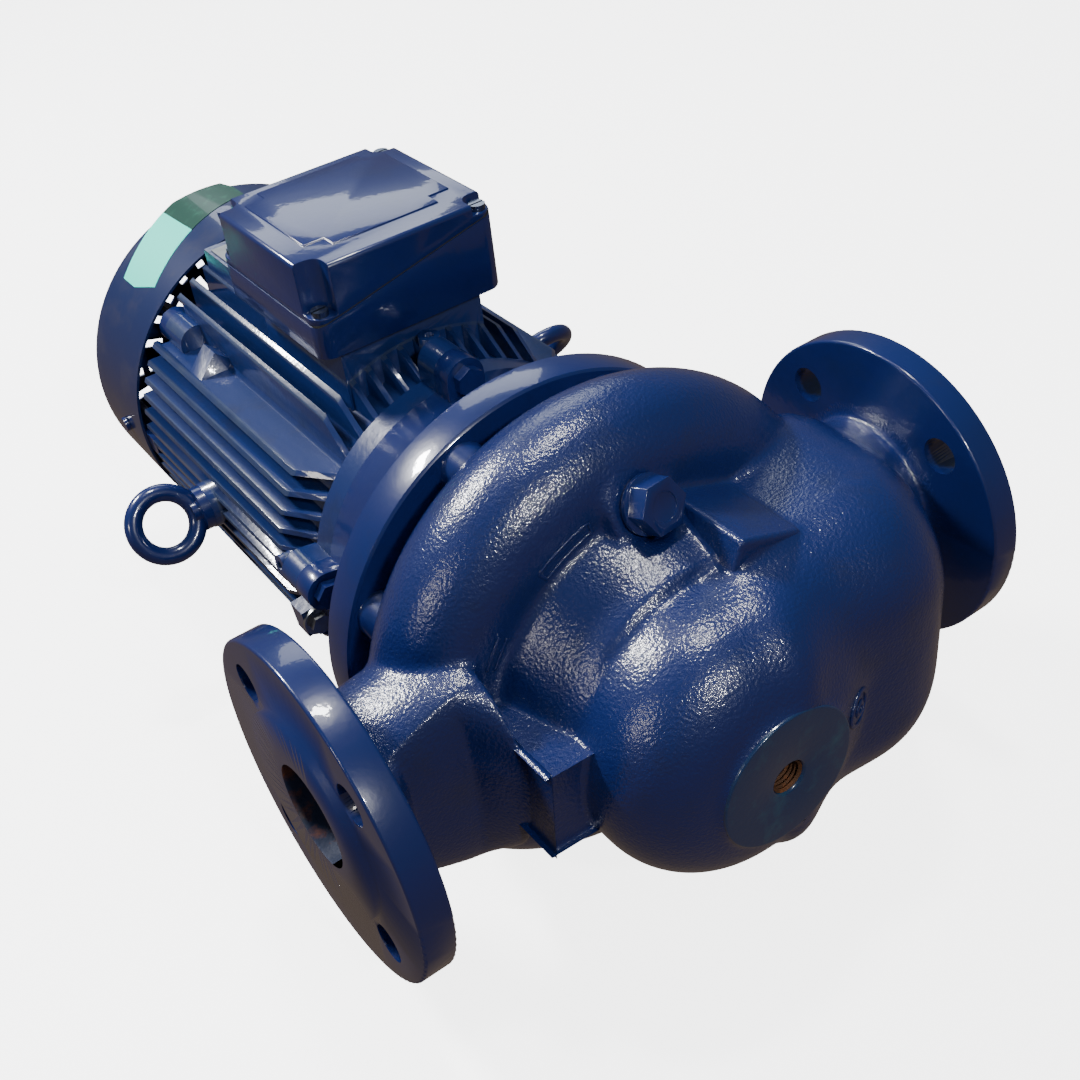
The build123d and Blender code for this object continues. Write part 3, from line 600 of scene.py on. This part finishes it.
def bead(name, path, radius, closed=False):
    """A half-sunk tube along (x, z) points in millimetres, seen from the front."""
    found = [on_skin(x, z) for x, z in path]
    found = [f for f in found if f[0] is not None]
    bm = bmesh.new()
    rings = []
    for i, (p, n) in enumerate(found):
        before = found[i - 1][0] if (i or closed) else p
        after = found[(i + 1) % len(found)][0] if (i + 1 < len(found) or closed) else p
        along = (after - before).normalized()
        side = along.cross(n).normalized()
        rings.append([bm.verts.new(p + (side * cos(t) * 1.3 + n * (sin(t) * 0.8 + 0.1)) * radius)
                      for t in [2 * pi * k / 8 for k in range(8)]])
    pairs = list(zip(rings, rings[1:])) + ([(rings[-1], rings[0])] if closed else [])
    for a, b in pairs:
        for k in range(8):
            m = (k + 1) % 8
            bm.faces.new((a[k], a[m], b[m], b[k]))
    if not closed:
        bm.faces.new(rings[0])
        bm.faces.new(rings[-1])
    obj = mesh_object(name, bm, MAT["cast_enamel"])
    print(name, "points:", len(found))
    return obj


def arc_path(radius, a0, a1, steps=14):
    return [(3 + radius * cos(radians(a0 + (a1 - a0) * k / steps)),
             2.5 + radius * sin(radians(a0 + (a1 - a0) * k / steps))) for k in range(steps + 1)]


def circle_path(radius, steps):
    return [(MEDALLION_X + radius * cos(2 * pi * k / steps), MEDALLION_Z + radius * sin(2 * pi * k / steps))
            for k in range(steps)]


MEDALLION_X, MEDALLION_Z = 48, 3
THIN = 0.0007
marks = [bead("cast_rib_1", arc_path(90, 143, 153), THIN)]
marks.append(bead("cast_rib_2", arc_path(94.5, 143, 153), THIN))
frame_path = arc_path(88, 106, 124) + arc_path(94, 124, 106)
marks.append(bead("cast_frame", frame_path, THIN, closed=True))
marks.append(bead("medallion_rim", circle_path(8, 40), 0.0011, closed=True))
marks.append(bead("medallion_centre", circle_path(3, 24), 0.0010, closed=True))

# %% [markdown]
# All these pieces are fixed to the housing. The skin stands for
# the CAD casing, so that the two aren't drawn in the same place.

# %% Everything above belongs to the casing
for obj in [skin, flange_a, flange_b, boss, hole] + lugs + marks:
    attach(obj, "housing")
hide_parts("volute_casing")
print("casing pieces:", 5 + len(lugs) + len(marks))

# %% [markdown]
# ## The two-tone label
# The film label on the cowl has a bright end and a dark printed end, so its faces get two
# materials by their angle about the shaft.

# %% Split the label
label = bpy.data.objects.new("cowl_label_print", NODES["cowl_label"].data.copy())
bpy.context.scene.collection.objects.link(label)
label.data.materials.append(MAT["label_dark"])
for poly in label.data.polygons:
    angle = math.degrees(math.atan2(poly.center.z, poly.center.x))
    poly.material_index = 1 if angle < 106 else 0
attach(label, "housing")
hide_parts("cowl_label")
print("label faces:", len(label.data.polygons))

# %% [markdown]
# ## Floor, light and camera
# A pale sheet lies under the pump. It glows a little, so that it stays near white, and it is left
# out of reflections, so that the paint doesn't go milky.

# %% Floor
LOW_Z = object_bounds()[0][2]
floor_mat = make("floor_mat", (0.9, 0.9, 0.9), 0.8)
floor_mat.node_tree.nodes["Principled BSDF"].inputs["Emission Color"].default_value = (1, 1, 1, 1)
floor_mat.node_tree.nodes["Principled BSDF"].inputs["Emission Strength"].default_value = 4.0
bm = bmesh.new()
bmesh.ops.create_grid(bm, x_segments=1, y_segments=1, size=6.0)
bmesh.ops.translate(bm, verts=bm.verts, vec=(0, 0, LOW_Z - 0.001))
floor = mesh_object("floor", bm, floor_mat, smooth=False)
floor.visible_glossy = False
floor.visible_diffuse = False

# %% [markdown]
# Each light is an area light that aims at the middle of the pump, placed by a direction and a
# distance. The surroundings are dim: warm below and cool above.

# %% Lights
def panel(name, direction, distance, size, power, color=(1, 1, 1)):
    """An area light seen from the pump in the given direction."""
    light = bpy.data.lights.new(name, "AREA")
    light.shape = "RECTANGLE"
    light.size, light.size_y = size
    light.energy, light.color = power, color
    obj = bpy.data.objects.new(name, light)
    centre = Vector((0.0, 0.2, 0.0))
    obj.location = centre + Vector(direction).normalized() * distance
    obj.rotation_mode = "QUATERNION"
    obj.rotation_quaternion = (centre - obj.location).to_track_quat("-Z", "Y")
    bpy.context.scene.collection.objects.link(obj)
    return obj


panel("key", (-0.36, 0.62, 0.72), 1.9, (0.36, 0.18), 46)
panel("sheen", (0.35, 0.75, 0.56), 2.6, (1.2, 0.9), 9, (0.88, 0.94, 1.0))
panel("front", (-0.1, -0.75, 0.65), 1.9, (0.14, 0.10), 14)
panel("side", (-0.95, -0.1, 0.45), 2.1, (0.35, 0.25), 5, (1.0, 0.93, 0.85))
panel("top", (0.1, 0.1, 1.0), 2.2, (0.3, 0.2), 22)
world = bpy.data.worlds.new("studio")
bpy.context.scene.world = world
world.use_nodes = True
wt = world.node_tree
sky = wt.nodes["Background"]
where = add(wt, "ShaderNodeTexCoord")
split = add(wt, "ShaderNodeSeparateXYZ")
ramp = add(wt, "ShaderNodeValToRGB")
ramp.color_ramp.elements[0].position, ramp.color_ramp.elements[0].color = 0.30, (0.13, 0.10, 0.085, 1)
ramp.color_ramp.elements[1].position, ramp.color_ramp.elements[1].color = 0.75, (0.085, 0.11, 0.16, 1)
shift = add(wt, "ShaderNodeMapRange", From_Min_in=-1.0, From_Max_in=1.0)
wt.links.new(where.outputs["Generated"], split.inputs[0])
wt.links.new(split.outputs["Z"], shift.inputs["Value"])
wt.links.new(shift.outputs["Result"], ramp.inputs["Fac"])
wt.links.new(ramp.outputs["Color"], sky.inputs["Color"])
sky.inputs["Strength"].default_value = 1.0

# %% [markdown]
# The camera looks down from the front left. Its three directions are the rows of its turn.

# %% Camera
RIGHT = Vector((0.8051081, -0.5842676, -0.1021389))
DOWN = Vector((-0.4326668, -0.4607352, -0.7749338))
AHEAD = Vector((0.4057097, 0.6680976, -0.6237349))
camera = bpy.data.objects.new("camera", bpy.data.cameras.new("camera"))
bpy.context.scene.collection.objects.link(camera)
turn = Matrix((RIGHT, -DOWN, -AHEAD)).transposed()
camera.matrix_world = Matrix.Translation(mm(-278.288, -400.728, 452.640)) @ turn.to_4x4()
camera.data.sensor_width, camera.data.lens = 36.0, 1407.4 / 1080 * 36.0
camera.data.clip_start, camera.data.clip_end = 0.05, 30
bpy.context.scene.camera = camera
print("camera at", [round(v, 3) for v in camera.location])
